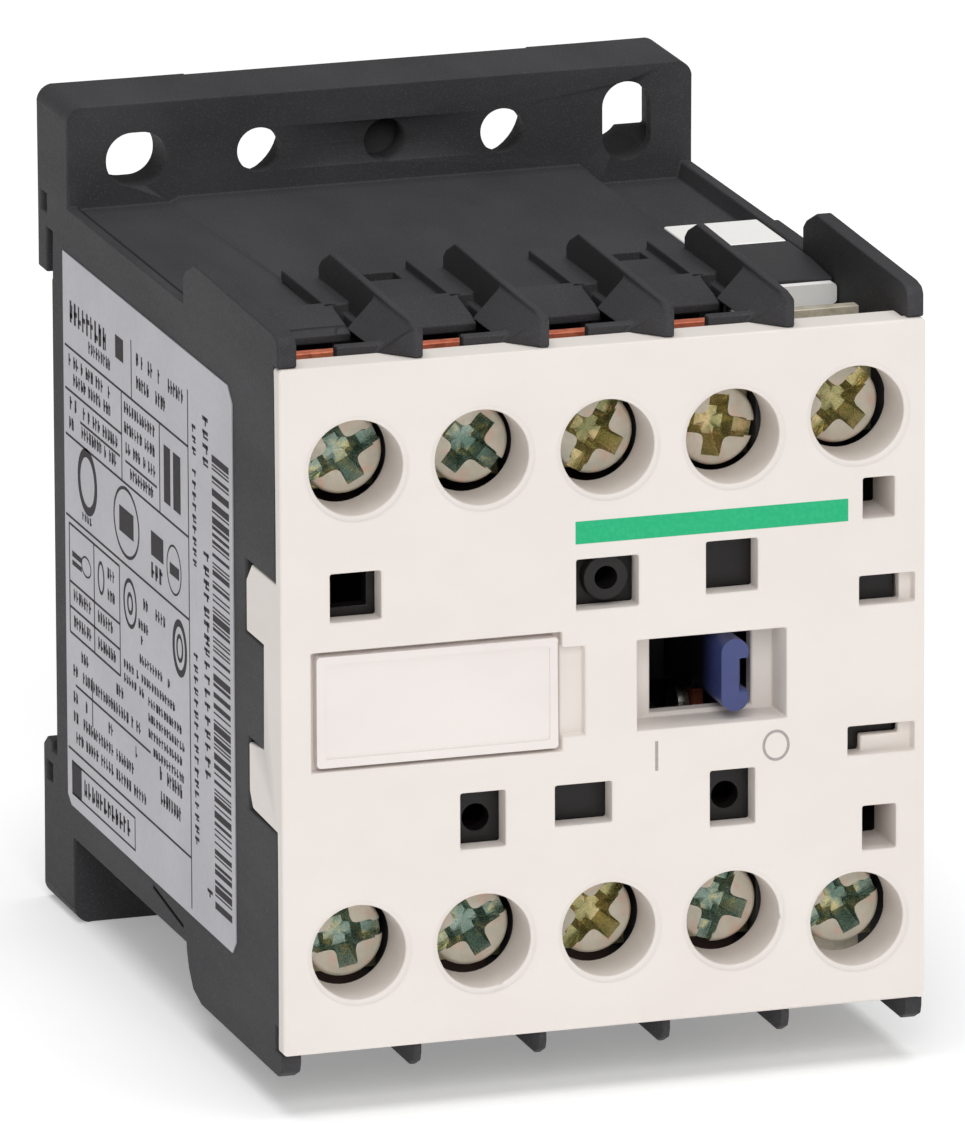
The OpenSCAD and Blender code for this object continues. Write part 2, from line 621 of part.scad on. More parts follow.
module pole_screws() color(zinc) for (x = pole_x, z = [row_up, row_dn]) screw(x, z);
module coil_screws() color(zinc) for (z = [coil_up, coil_dn]) screw(coil_x, z);
module pole_clamps() color(zinc) for (x = pole_x, z = [row_up, row_dn]) clamp_washer(x, z);
module coil_clamps() color(zinc) for (z = [coil_up, coil_dn]) clamp_washer(coil_x, z);
module pole_nuts() color(steel) for (x = pole_x, z = [row_up, row_dn]) square_nut(x, z);
module coil_nuts() color(steel) for (z = [coil_up, coil_dn]) square_nut(coil_x, z);

// bowed wire in the upper hook; its middle bears on the rail edge
module rail_spring() color(silver)
  sweep([for (i = [-12:12]) let (t = i / 12) [19.1 * t, -2.85, 18.2 + 2.4 * t * t]],
    0.55, [0, 1, 0], 10);

base_housing();
front_housing();
contact_block();
arc_shield();
marker_plate();
side_label();
coil_bobbin();
coil_winding();
coil_wrap();
coil_leads();
coil_terminals();
fixed_core();
core_pad();
armature();
armature_pin();
contact_carrier();
moving_bridges();
moving_tips();
contact_springs();
return_spring();
upper_pole_plates();
lower_pole_plates();
fixed_tips();
pole_screws();
coil_screws();
pole_clamps();
coil_clamps();
pole_nuts();
coil_nuts();
rail_spring();
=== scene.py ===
"""Looks of the din rail contactor: materials, rounded shells, springs, screws, print and the studio."""

import math
import random

import bmesh
import bpy
from mathutils import Matrix, Vector
from mathutils.geometry import delaunay_2d_cdt


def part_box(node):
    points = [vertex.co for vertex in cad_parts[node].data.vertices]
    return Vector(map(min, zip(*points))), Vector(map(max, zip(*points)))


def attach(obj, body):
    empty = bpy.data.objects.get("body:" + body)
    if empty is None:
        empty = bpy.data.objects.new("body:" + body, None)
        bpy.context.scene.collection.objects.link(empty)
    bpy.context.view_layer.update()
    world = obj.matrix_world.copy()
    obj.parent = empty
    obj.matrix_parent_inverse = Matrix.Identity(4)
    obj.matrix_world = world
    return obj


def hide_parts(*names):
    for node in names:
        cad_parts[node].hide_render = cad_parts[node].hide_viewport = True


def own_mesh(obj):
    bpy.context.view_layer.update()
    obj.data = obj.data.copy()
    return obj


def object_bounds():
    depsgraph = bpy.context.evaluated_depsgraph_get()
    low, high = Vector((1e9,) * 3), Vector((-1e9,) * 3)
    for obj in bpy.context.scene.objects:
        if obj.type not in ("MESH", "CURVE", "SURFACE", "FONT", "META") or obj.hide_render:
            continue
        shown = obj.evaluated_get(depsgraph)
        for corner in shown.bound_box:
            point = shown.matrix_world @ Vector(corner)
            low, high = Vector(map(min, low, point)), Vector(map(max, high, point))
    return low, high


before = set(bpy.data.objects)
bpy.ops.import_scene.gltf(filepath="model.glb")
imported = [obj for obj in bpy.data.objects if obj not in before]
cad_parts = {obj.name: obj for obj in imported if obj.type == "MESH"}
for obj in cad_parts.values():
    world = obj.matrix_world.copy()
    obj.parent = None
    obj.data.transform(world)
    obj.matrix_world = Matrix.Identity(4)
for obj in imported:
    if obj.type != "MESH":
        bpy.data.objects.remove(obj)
cad_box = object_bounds()
scene = bpy.context.scene
MM = 0.001


# ------------------------------------------------------------------ node helpers


def new_node(tree, kind, inputs=None, **props):
    n = tree.nodes.new(kind)
    for key, value in props.items():
        setattr(n, key, value)
    for key, value in (inputs or {}).items():
        socket = n.inputs[key]
        if isinstance(value, bpy.types.NodeSocket):
            tree.links.new(value, socket)
        else:
            socket.default_value = value
    return n


def math_node(tree, op, a, b=0.0):
    return new_node(tree, "ShaderNodeMath", {0: a, 1: b}, operation=op).outputs[0]


def mix_colour(tree, factor, a, b):
    n = tree.nodes.new("ShaderNodeMix")
    n.data_type = "RGBA"
    for socket, value in zip((n.inputs["Factor"], n.inputs[6], n.inputs[7]), (factor, a, b)):
        if isinstance(value, bpy.types.NodeSocket):
            tree.links.new(value, socket)
        else:
            socket.default_value = value
    return n.outputs[2]


def remap(tree, value, lo, hi, to_lo=0.0, to_hi=1.0):
    n = new_node(tree, "ShaderNodeMapRange", {0: value, 1: lo, 2: hi, 3: to_lo, 4: to_hi})
    return n.outputs[0]


def rgba(r, g, b):
    return (r, g, b, 1.0)


def srgb(r, g, b):
    def lin(c):
        c /= 255
        return c / 12.92 if c <= 0.04045 else ((c + 0.055) / 1.055) ** 2.4

    return (lin(r), lin(g), lin(b), 1.0)


class Surface:
    """A Principled material whose coordinates are millimetres in the part's own frame."""

    def __init__(self, name):
        self.mat = bpy.data.materials.new(name)
        self.mat.use_nodes = True
        self.tree = self.mat.node_tree
        self.tree.nodes.clear()
        out = self.tree.nodes.new("ShaderNodeOutputMaterial")
        self.bsdf = self.tree.nodes.new("ShaderNodeBsdfPrincipled")
        self.tree.links.new(self.bsdf.outputs[0], out.inputs[0])
        coord = self.tree.nodes.new("ShaderNodeTexCoord")
        scale = new_node(self.tree, "ShaderNodeMapping", {"Vector": coord.outputs["Object"],
                                                          "Scale": (1 / MM, 1 / MM, 1 / MM)})
        self.mm = scale.outputs[0]

    def noise(self, size, detail=2.0, rough=0.5, stretch=None, seed=0.0):
        """Noise whose blotches are about `size` mm across."""
        vector = self.mm
        if stretch or seed:
            vector = new_node(self.tree, "ShaderNodeMapping", {
                "Vector": vector, "Scale": stretch or (1, 1, 1), "Location": (seed, seed, seed)}).outputs[0]
        n = new_node(self.tree, "ShaderNodeTexNoise", {"Vector": vector, "Scale": 1.0 / size,
                                                       "Detail": detail, "Roughness": rough})
        return n.outputs[0]

    def set(self, **values):
        for key, value in values.items():
            socket = self.bsdf.inputs[key.replace("_", " ")]
            if isinstance(value, bpy.types.NodeSocket):
                self.tree.links.new(value, socket)
            else:
                socket.default_value = value
        return self

    def bump(self, height, depth_mm):
        """Adds a bump of that depth on top of those already there."""
        socket = self.bsdf.inputs["Normal"]
        before = socket.links[0].from_socket if socket.links else None
        n = new_node(self.tree, "ShaderNodeBump", {"Height": height, "Distance": depth_mm * MM,
                                                   "Strength": 1.0})
        if before:
            self.tree.links.new(before, n.inputs["Normal"])
        self.tree.links.new(n.outputs[0], socket)
        return self


# ------------------------------------------------------------------ materials


def moulded(name, colour, light, rough, grain, depth, cloud=0.035, specks=0.0, coat=0.0, gloss=0.5):
    """Moulded plastic: eroded grain, faint flow clouds, light specks of filler, uneven gloss."""
    s = Surface(name)
    t = s.tree
    fine = s.noise(grain, 3.0, 0.6)
    flow = s.noise(9.0, 3.0, 0.55, stretch=(1, 0.4, 1.6))
    blotch = s.noise(1.4, 2.0, 0.5, seed=7)
    tone = mix_colour(t, remap(t, flow, 0.35, 0.65), colour, light)
    tone = mix_colour(t, remap(t, blotch, 0.3, 0.7, 0, cloud), tone, light)
    if specks:
        spot = s.noise(grain * 0.8, 1.0, 0.4, seed=31)
        pale = rgba(*(min(1, c * 3.2) for c in colour[:3]))
        tone = mix_colour(t, remap(t, spot, 0.56, 0.72, 0, specks), tone, pale)
    s.set(Base_Color=tone, Roughness=remap(t, fine, 0.3, 0.7, rough - 0.07, rough + 0.07),
          Specular_IOR_Level=gloss)
    if coat:
        s.set(Coat_Weight=coat, Coat_Roughness=0.35)
    return s.bump(fine, depth)


def metal(name, colours, rough, size=1.6, stretch=(1, 1, 1), depth=0.004, share=1.0):
    """Metal with drifting tint between three colours, fine drawn lines and uneven polish."""
    s = Surface(name)
    t = s.tree
    drift = s.noise(size, 3.0, 0.55, seed=3)
    second = s.noise(size * 0.45, 2.0, 0.5, seed=11)
    tone = mix_colour(t, remap(t, drift, 0.38, 0.62), colours[0], colours[1])
    tone = mix_colour(t, remap(t, second, 0.5, 0.72), tone, colours[2])
    lines = s.noise(0.12, 2.0, 0.6, stretch=stretch, seed=5)
    s.set(Base_Color=tone, Metallic=share,
          Roughness=remap(t, lines, 0.3, 0.7, rough - 0.1, rough + 0.14))
    return s.bump(lines, depth)


DARK = moulded("housing_plastic", srgb(58, 57, 59), srgb(67, 66, 68), 0.6, 0.16, 0.016,
               specks=0.22, gloss=0.1).mat
BLACK = moulded("inner_plastic", srgb(26, 23, 23), srgb(33, 30, 30), 0.4, 0.18, 0.01, gloss=0.3).mat
TRAY = moulded("tray_plastic", srgb(54, 53, 55), srgb(62, 61, 63), 0.5, 0.18, 0.012, gloss=0.25).mat
CREAM = moulded("cover_plastic", srgb(231, 223, 217), srgb(234, 227, 221), 0.5, 0.2, 0.010, gloss=0.35).mat
CARD = moulded("card_plastic", srgb(233, 225, 221), srgb(236, 229, 225), 0.42, 0.25, 0.004).mat
WHITE = moulded("bobbin_plastic", srgb(250, 249, 246), srgb(253, 252, 250), 0.4, 0.3, 0.006).mat


def carrier_plastic():
    """Blue at the tab, darkening into painted shade further inside the housing."""
    s = moulded("carrier_plastic", srgb(50, 58, 108), srgb(60, 70, 122), 0.38, 0.25, 0.006)
    t = s.tree
    split = new_node(t, "ShaderNodeSeparateXYZ", {0: s.mm})
    # painted shade: from y -54.6 mm inwards to -52.0 mm the blue turns near black, standing in for the dim
    # light deep in the window
    inside = remap(t, split.outputs[1], -54.6, -52.0)
    unshaded_blue = s.bsdf.inputs["Base Color"].links[0].from_socket
    return s.set(Base_Color=mix_colour(t, inside, unshaded_blue, srgb(14, 14, 24))).mat


BLUE = carrier_plastic()
RUBBER = moulded("pad_rubber", srgb(34, 34, 35), srgb(42, 42, 42), 0.75, 0.3, 0.02).mat
TAPE = moulded("winding_tape", srgb(214, 178, 84), srgb(226, 194, 104), 0.3, 0.6, 0.004, coat=0.5).mat

COPPER_TONES = (srgb(226, 132, 100), srgb(212, 116, 86), srgb(176, 92, 68))
COPPER = metal("plate_copper", COPPER_TONES, 0.5, stretch=(0.2, 1, 1), share=0.5).mat


def copper_with_painted_shade(name, bright_z):
    """Bright further than bright_z mm from the middle, at the wire entries, and painted shade inside: dark
    brown where the screw heads and housing shade the plates.
    """
    s = metal(name, COPPER_TONES, 0.5, stretch=(0.2, 1, 1), share=0.5)
    t = s.tree
    split = new_node(t, "ShaderNodeSeparateXYZ", {0: s.mm})
    # painted shade: dark brown within bright_z - 1 mm of the middle, full copper beyond bright_z
    inside = remap(t, math_node(t, "ABSOLUTE", split.outputs[2], 0.0), bright_z, bright_z - 1)
    bright = s.bsdf.inputs["Base Color"].links[0].from_socket
    return s.set(Base_Color=mix_colour(t, inside, bright, srgb(58, 40, 34))).mat


# both rows of plates carry painted shade where they sit under the screw heads inside the housing
PLATE_COPPER = copper_with_painted_shade("plate_copper_upper", 20.6)
LOWER_COPPER = copper_with_painted_shade("plate_copper_lower", 26.0)
SILVER = metal("contact_silver", (srgb(226, 224, 218), srgb(206, 204, 198), srgb(176, 172, 164)), 0.34).mat
SPRING = metal("spring_wire_steel", (srgb(190, 188, 184), srgb(166, 165, 162), srgb(130, 128, 124)), 0.28,
               stretch=(1, 0.2, 0.2)).mat
NUT = metal("nut_steel", (srgb(196, 192, 180), srgb(178, 174, 160), srgb(150, 148, 132)), 0.4).mat
PLATED = metal("clamp_zinc", (srgb(196, 186, 140), srgb(176, 172, 128), srgb(150, 158, 132)), 0.34).mat
TINNED = metal("coil_plate_tin", (srgb(214, 206, 188), srgb(202, 194, 174), srgb(186, 180, 158)), 0.45,
               share=0.4).mat
HEAD_TOP = metal("screw_head_worn", (srgb(204, 196, 180), srgb(188, 184, 168), srgb(206, 178, 160)), 0.5,
                 size=1.9, stretch=(1, 1, 0.3), share=0.45).mat
HEAD_TEAL = metal("screw_recess_green", (srgb(150, 168, 156), srgb(102, 126, 114), srgb(206, 196, 144)), 0.24,
                  size=2.4, share=0.75, depth=0.002).mat
HEAD_OLIVE = metal("screw_recess_olive", (srgb(186, 176, 122), srgb(134, 134, 92), srgb(214, 190, 142)), 0.24,
                   size=2.4, share=0.75, depth=0.002).mat


def striped(name, colours, rough, axis, period, depth):
    """Stacked sheets or turns of wire: fine parallel ridges along one axis."""
    s = Surface(name)
    t = s.tree
    split = new_node(t, "ShaderNodeSeparateXYZ", {0: s.mm})
    wander = math_node(t, "MULTIPLY", s.noise(3.0, 2.0), period * 0.5)
    along = math_node(t, "ADD", split.outputs[axis], wander)
    wave = math_node(t, "ABSOLUTE", math_node(t, "SINE", math_node(t, "MULTIPLY", along, math.pi / period)))
    tone = mix_colour(t, remap(t, s.noise(2.4, 3.0), 0.35, 0.65), colours[0], colours[1])
    tone = mix_colour(t, remap(t, wave, 0.0, 0.3, 0.75, 0.0), tone, colours[2])
    s.set(Base_Color=tone, Metallic=1.0, Roughness=remap(t, wave, 0.0, 0.6, rough + 0.2, rough))
    return s.bump(wave, depth)


SHEETS = striped("core_sheets", (srgb(150, 150, 152), srgb(128, 128, 130), srgb(60, 58, 56)), 0.36,
                 axis=1, period=0.5, depth=0.05).mat
TURNS = striped("copper_turns", (srgb(206, 120, 82), srgb(190, 100, 66), srgb(96, 48, 34)), 0.3,
                axis=0, period=0.22, depth=0.08).mat


def label_paper():
    """Grey film of the side label: soft tone changes and a faint fibre."""
    s = Surface("label_film")
    t = s.tree
    fibre = s.noise(0.5, 4.0, 0.65)
    tone = mix_colour(t, remap(t, s.noise(7.0, 3.0), 0.35, 0.65), srgb(168, 166, 172), srgb(176, 174, 180))
    tone = mix_colour(t, remap(t, fibre, 0.5, 0.75, 0, 0.18), tone, srgb(164, 161, 166))
    s.set(Base_Color=tone, Roughness=remap(t, fibre, 0.3, 0.7, 0.38, 0.5),
          Coat_Weight=0.25, Coat_Roughness=0.3)
    return s.bump(fibre, 0.006).mat


def ink(name, colour, light, rough):
    """Matt print whose cover is slightly patchy."""
    s = Surface(name)
    t = s.tree
    patchy = s.noise(0.35, 3.0, 0.6)
    s.set(Base_Color=mix_colour(t, remap(t, patchy, 0.45, 0.75), colour, light), Specular_IOR_Level=0.15,
          Roughness=remap(t, patchy, 0.3, 0.7, rough - 0.06, rough + 0.08))
    return s.bump(patchy, 0.002).mat


LABEL = label_paper()
INK_BLACK = ink("ink_black", srgb(40, 35, 38), srgb(58, 53, 56), 0.6)
INK_GREEN = ink("ink_green", srgb(44, 178, 124), srgb(58, 188, 134), 0.5)
INK_GREY = ink("ink_grey", srgb(166, 160, 157), srgb(180, 174, 171), 0.5)


# ------------------------------------------------------------------ mesh helpers


def finish_mesh(name, bm, mats, body, smooth=34, weighted=True):
    """Turns a bmesh into a shown piece that rides on a body of the frame."""
    mesh = bpy.data.meshes.new(name)
    bm.normal_update()
    bm.to_mesh(mesh)
    bm.free()
    for m in mats:
        mesh.materials.append(m)
    mesh.shade_smooth()
    mesh.set_sharp_from_angle(angle=math.radians(smooth))
    ob = bpy.data.objects.new(name, mesh)
    scene.collection.objects.link(ob)
    if weighted:
        mod = ob.modifiers.new("even_shading", "WEIGHTED_NORMAL")
        mod.keep_sharp = True
        mod.weight = 80
    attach(ob, body)
    return ob


def flat_groups(bm, tilt=0.3):
    """Connected faces lying in one plane, wherever the tiling of one of them overlaps itself."""
    tiled = {}
    for a, b, c in bm.calc_loop_triangles():
        cross = (b.vert.co - a.vert.co).cross(c.vert.co - a.vert.co)
        tiled[a.face] = tiled.get(a.face, 0.0) + cross.length / 2
    spoilt = {f for f in bm.faces if tiled.get(f, 0.0) > 1.01 * f.calc_area() + 0.003 * MM * MM}
    seen = set()
    for start in sorted(bm.faces, key=lambda f: -f.calc_area()):
        if start in seen:
            continue
        group, stack = {start}, [start]
        while stack:
            for e in stack.pop().edges:
                for other in e.link_faces:
                    if other not in group and other not in seen:
                        turn = other.normal.angle(start.normal, 1.5)
                        if min(turn, math.pi - turn) < math.radians(tilt):
                            group.add(other)
                            stack.append(other)
        seen |= group
        if not spoilt.isdisjoint(group):
            yield group, start.normal.copy()


def retile(bm):
    """Tiles such flat regions again from their outline alone, so no tile crosses a hole."""
    for group, normal in list(flat_groups(bm)):
        rim = [e for f in group for e in f.edges if sum(k in group for k in e.link_faces) == 1]
        verts = list({v for e in rim for v in e.verts})
        index = {v: i for i, v in enumerate(verts)}
        u = normal.orthogonal().normalized()
        w = normal.cross(u)
        flat = [Vector((v.co.dot(u), v.co.dot(w))) / MM for v in verts]
        pairs = [(index[e.verts[0]], index[e.verts[1]]) for e in rim]
        points, _, tiles, origin, _, _ = delaunay_2d_cdt(flat, pairs, [], 0, 1e-5)
        level = verts[0].co.dot(normal)
        place = [verts[o[0]] if o else bm.verts.new((u * p.x + w * p.y) * MM + normal * level)
                 for p, o in zip(points, origin)]
        bmesh.ops.delete(bm, geom=list(group), context="FACES_ONLY")
        for tile in tiles:
            c = sum((points[i] for i in tile), Vector((0, 0))) / len(tile)
            crossings = sum((flat[a].y > c.y) != (flat[b].y > c.y)
                            and c.x < flat[a].x + (c.y - flat[a].y) * (flat[b].x - flat[a].x)
                            / (flat[b].y - flat[a].y) for a, b in pairs)
            if crossings % 2 and not bm.faces.get([place[i] for i in tile]):
                bm.faces.new([place[i] for i in tile]).normal_update()
    bmesh.ops.delete(bm, geom=[e for e in bm.edges if not e.link_faces], context="EDGES")


def shell(node, name, mats, body, slot, edge=0.15, steps=2, sharp=28):
    """A CAD node's own shape with its sharp edges rounded, standing for that node."""
    bm = bmesh.new()
    bm.from_mesh(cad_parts[node].data)
    bmesh.ops.remove_doubles(bm, verts=bm.verts, dist=0.003 * MM)
    bmesh.ops.dissolve_limit(bm, angle_limit=math.radians(0.6), verts=bm.verts[:], edges=bm.edges[:])
    area = {f: f.calc_area() for f in bm.faces}
    wide = 2.3 * edge * MM
    edges = [e for e in bm.edges if len(e.link_faces) == 2
             and e.calc_face_angle(0) > math.radians(sharp) and e.calc_length() > wide
             and all(area[f] > wide * max(k.calc_length() for k in f.edges) for f in e.link_faces)]
    bmesh.ops.bevel(bm, geom=edges, offset=edge * MM, offset_type="OFFSET", segments=steps, profile=0.5,
                    affect="EDGES", clamp_overlap=False)
    bm.normal_update()
    retile(bm)
    for f in bm.faces:
        f.material_index = 0
    ob = finish_mesh(name, bm, mats, body)
    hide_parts(node)
    return ob


def add_box(bm, x0, x1, y0, y1, z0, z1):
    """A box given in millimetres."""
    v = [bm.verts.new((x * MM, y * MM, z * MM)) for x in (x0, x1) for y in (y0, y1) for z in (z0, z1)]
    for f in ((0, 1, 3, 2), (4, 6, 7, 5), (0, 4, 5, 1), (2, 3, 7, 6), (0, 2, 6, 4), (1, 5, 7, 3)):
        bm.faces.new([v[i] for i in f])


def join_loops(bm, a, b):
    """Quads from one closed loop of vertices to the next."""
    n = len(a)
    return [bm.faces.new((a[k], b[k], b[(k + 1) % n], a[(k + 1) % n])) for k in range(n)]


def add_tube(bm, path, radius, sides):
    """A round bar along points in millimetres."""
    pts = [Vector(p) * MM for p in path]
    rings = []
    side = None
    for i, p in enumerate(pts):
        d = (pts[min(i + 1, len(pts) - 1)] - pts[max(i - 1, 0)]).normalized()
        if side is None:
            side = d.orthogonal().normalized()
        side = (side - d * side.dot(d)).normalized()
        other = d.cross(side)
        rings.append([bm.verts.new(p + (side * math.cos(2 * math.pi * k / sides)
                                        + other * math.sin(2 * math.pi * k / sides)) * radius * MM)
                      for k in range(sides)])
    for a, b in zip(rings, rings[1:]):
        for k in range(sides):
            bm.faces.new((a[k], a[(k + 1) % sides], b[(k + 1) % sides], b[k]))
    bm.faces.new(rings[0][::-1])
    bm.faces.new(rings[-1])
    bmesh.ops.recalc_face_normals(bm, faces=bm.faces[:])


# ------------------------------------------------------------------ moulded and stamped parts

PART_SHELLS = [
    # node, piece, material, body, slot, edge radius in mm
    ("base_housing", "housing_base", DARK, "housing", "dark_plastic", 0.15),
    ("front_housing", "housing_front", CREAM, "housing", "cream_plastic", 0.16),
    ("contact_block", "contact_tray", TRAY, "housing", "dark_plastic", 0.12),
    ("arc_shield", "arc_cover", BLACK, "housing", "black_plastic", 0.08),
    ("marker_plate", "marker_card", CARD, "housing", "cream_plastic", 0.07),
    ("coil_bobbin", "coil_former", WHITE, "housing", "white_plastic", 0.15),
    ("coil_terminals", "coil_terminal_plates", TINNED, "housing", "zinc", 0.06),
    ("fixed_core", "core_stack", SHEETS, "housing", "core_steel", 0.12),
    ("armature", "armature_stack", SHEETS, "carrier", "core_steel", 0.12),
    ("contact_carrier", "carrier_slide_bar", BLUE, "carrier", "blue_plastic", 0.14),
    ("moving_bridges", "bridge_bars", COPPER, "bridges", "copper", 0.1),
    ("moving_tips", "bridge_tips", SILVER, "bridges", "silver", 0.08),
    ("fixed_tips", "plate_tips", SILVER, "housing", "silver", 0.08),
    ("upper_pole_plates", "upper_plates", PLATE_COPPER, "housing", "copper", 0.08),
    ("lower_pole_plates", "lower_plates", LOWER_COPPER, "housing", "copper", 0.08),
    ("pole_clamps", "pole_clamp_plates", PLATED, "housing", "zinc", 0.1),
    ("coil_clamps", "coil_clamp_plates", PLATED, "housing", "zinc", 0.1),
    ("pole_nuts", "pole_square_nuts", NUT, "housing", "core_steel", 0.12),
    ("coil_nuts", "coil_square_nuts", NUT, "housing", "core_steel", 0.12),
]
for node, piece, material, body, slot_name, radius in PART_SHELLS:
    shell(node, piece, [material], body, slot_name, radius)


def repaint(node, material):
    """Gives a CAD node that is shown as it is a better material."""
    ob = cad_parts[node]
    for s in ob.material_slots:
        s.link = "OBJECT"
        s.material = material


for node, material in (("side_label", LABEL), ("coil_winding", TURNS), ("coil_wrap", TAPE),
                       ("core_pad", RUBBER), ("armature_pin", SILVER), ("coil_leads", COPPER)):
    repaint(node, material)

# ------------------------------------------------------------------ springs


POLE_1, PITCH = -17.13, 8.74
POLE_X = [POLE_1 + i * PITCH for i in range(4)]
COIL_X = POLE_1 + 4 * PITCH


def coil_spring(name, x0, x1, y, z, radius, wire, turns, body, anchor_x, replaced=()):
    """A compression spring along X with closed ends."""
    per_turn, flat = 28, 0.75
    n = int(turns * per_turn)
    span = x1 - x0 - wire - 0.04
    path = []
    for i in range(n + 1):
        t = i / per_turn
        f = max(0.0, min(1.0, (t - flat) / (turns - 2 * flat)))
        a = 2 * math.pi * t
        path.append((x0 + wire / 2 + 0.02 + span * f, y + radius * math.cos(a), z + radius * math.sin(a)))
    bm = bmesh.new()
    add_tube(bm, path, wire / 2, 10)
    ob = finish_mesh(name, bm, [SPRING], body, weighted=False)
    if replaced:
        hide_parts(*replaced)
    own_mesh(ob)
    return ob


lo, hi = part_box("return_spring")
x0, x1 = lo.x / MM - 0.02, hi.x / MM + 0.02
coil_spring("return_spring_coil", x0, x1, (lo.y + hi.y) / 2 / MM, (lo.z + hi.z) / 2 / MM, 1.55, 0.45, 9,
            "housing", x0, ["return_spring"])

lo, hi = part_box("contact_springs")
NEAR, FAR = 2.7, 5.9                             # ends of a contact spring, from its pole
for i, x in enumerate(POLE_X):
    coil_spring(f"contact_spring_{i + 1}", x + NEAR, x + FAR, (lo.y + hi.y) / 2 / MM,
                (lo.z + hi.z) / 2 / MM, 1.3, 0.4, 4, "carrier", x + FAR,
                ["contact_springs"] if i == 0 else ())

WIRE_HALF, WIRE_Y, WIRE_Z, WIRE_RISE, WIRE_R = 19.1, -2.85, 18.2, 2.4, 0.52
STEPS = 24                                       # in each half of the bow
bm = bmesh.new()
add_tube(bm, [(WIRE_HALF * t / STEPS, WIRE_Y, WIRE_Z + WIRE_RISE * (t / STEPS) ** 2)
              for t in range(-STEPS, STEPS + 1)], WIRE_R, 16)
rail_wire = finish_mesh("rail_wire", bm, [SPRING], "rail_spring", weighted=False)
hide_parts("rail_spring")

# ------------------------------------------------------------------ screws

HEAD_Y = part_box("pole_screws")[0].y / MM      # front of the screw heads
SHANK_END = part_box("pole_screws")[1].y / MM
HEAD_R, HEAD_H = 2.8, 2.0
SLOT_W, SLOT_D = 1.05, 0.85                  # straight slot across the head
CROSS_D = 1.75                               # depth of the cross recess
SHANK_R, THREAD_R, THREAD_PITCH = 1.34, 1.7, 0.7


def cross_outline(t, n=128):
    """The cross recess at depth share t: two wings with rounded inner corners."""
    reach = 2.12 - 1.15 * t
    half = 0.66 - 0.18 * t
    core = 1.12 - 0.55 * t
    pts = []
    for k in range(n):
        a = 2 * math.pi * k / n
        c, s = abs(math.cos(a)), abs(math.sin(a))
        wing_x = min(reach / max(c, 1e-6), half / max(s, 1e-6))
        wing_y = min(reach / max(s, 1e-6), half / max(c, 1e-6))
        wing = max(wing_x, wing_y)
        r = (max(wing, 0.001) ** 7 + core ** 7) ** (1 / 7) if wing < reach * 0.98 else wing
        r = min(r, reach / max(c, s))
        pts.append((r * math.cos(a), r * math.sin(a)))
    return pts


def screw_head_mesh():
    """One head in its own frame: front towards -Y, centre of the front at the origin."""
    bm = bmesh.new()
    seg = 72
    rings = [(HEAD_R - 0.3, 0.0), (HEAD_R - 0.12, 0.05), (HEAD_R, 0.26), (HEAD_R, HEAD_H - 0.1),
             (HEAD_R - 0.12, HEAD_H)]
    loops = [[bm.verts.new((r * math.cos(2 * math.pi * k / seg) * MM, y * MM,
                            r * math.sin(2 * math.pi * k / seg) * MM)) for k in range(seg)] for r, y in rings]
    for a, b in zip(loops, loops[1:]):
        join_loops(bm, a, b)
    bm.faces.new(loops[0])
    bm.faces.new(loops[-1][::-1])
    bmesh.ops.recalc_face_normals(bm, faces=bm.faces[:])
    head = bpy.data.meshes.new("tmp_head")
    bm.to_mesh(head)
    bm.free()

    bm = bmesh.new()
    levels = [(-0.15, 0.0), (0.0, 0.0), (0.35, 0.22), (0.8, 0.5), (1.25, 0.78), (CROSS_D - 0.15, 1.0)]
    loops = [[bm.verts.new((x * MM, y * MM, z * MM)) for x, z in cross_outline(t)] for y, t in levels]
    n = len(loops[0])
    for a, b in zip(loops, loops[1:]):
        join_loops(bm, a, b)
    bm.faces.new(loops[0])
    tip = bm.verts.new((0, CROSS_D * MM, 0))
    for k in range(n):
        bm.faces.new((loops[-1][k], tip, loops[-1][(k + 1) % n]))
    bmesh.ops.recalc_face_normals(bm, faces=bm.faces[:])
    cross = bpy.data.meshes.new("tmp_cross")
    bm.to_mesh(cross)
    bm.free()

    bm = bmesh.new()
    add_box(bm, -4, 4, -0.5, SLOT_D, -SLOT_W / 2, SLOT_W / 2)
    bmesh.ops.recalc_face_normals(bm, faces=bm.faces[:])
    slot_mesh = bpy.data.meshes.new("tmp_slot")
    bm.to_mesh(slot_mesh)
    bm.free()

    made = [bpy.data.objects.new(m.name, m) for m in (head, cross, slot_mesh)]
    for ob in made:
        scene.collection.objects.link(ob)
    for cutter in made[1:]:
        mod = made[0].modifiers.new("cut", "BOOLEAN")
        mod.operation = "DIFFERENCE"
        mod.solver = "EXACT"
        mod.object = cutter
    bpy.context.view_layer.update()
    dg = bpy.context.evaluated_depsgraph_get()
    result = bpy.data.meshes.new_from_object(made[0].evaluated_get(dg), depsgraph=dg)
    for ob in made:
        bpy.data.objects.remove(ob)
    return result


def add_thread(bm, y0, y1, r_in, r_out, pitch):
    """A threaded shank along +Y whose last half millimetre tapers."""
    seg, step = 28, pitch / 8
    rows = int((y1 - y0) / step)
    loops = []
    for i in range(rows + 1):
        y = y0 + i * step
        loop = []
        for k in range(seg):
            phase = (y / pitch + k / seg) % 1.0
            r = r_in + (r_out - r_in) * (1 - abs(2 * phase - 1))
            if i == 0:
                r = r_in
            if y > y1 - 0.5:
                r = min(r, r_out - (y - (y1 - 0.5)) * 0.8)
            a = 2 * math.pi * k / seg
            loop.append(bm.verts.new((r * math.cos(a) * MM, y * MM, r * math.sin(a) * MM)))
        loops.append(loop)
    for a, b in zip(loops, loops[1:]):
        join_loops(bm, a, b)
    bm.faces.new(loops[0][::-1])
    bm.faces.new(loops[-1])


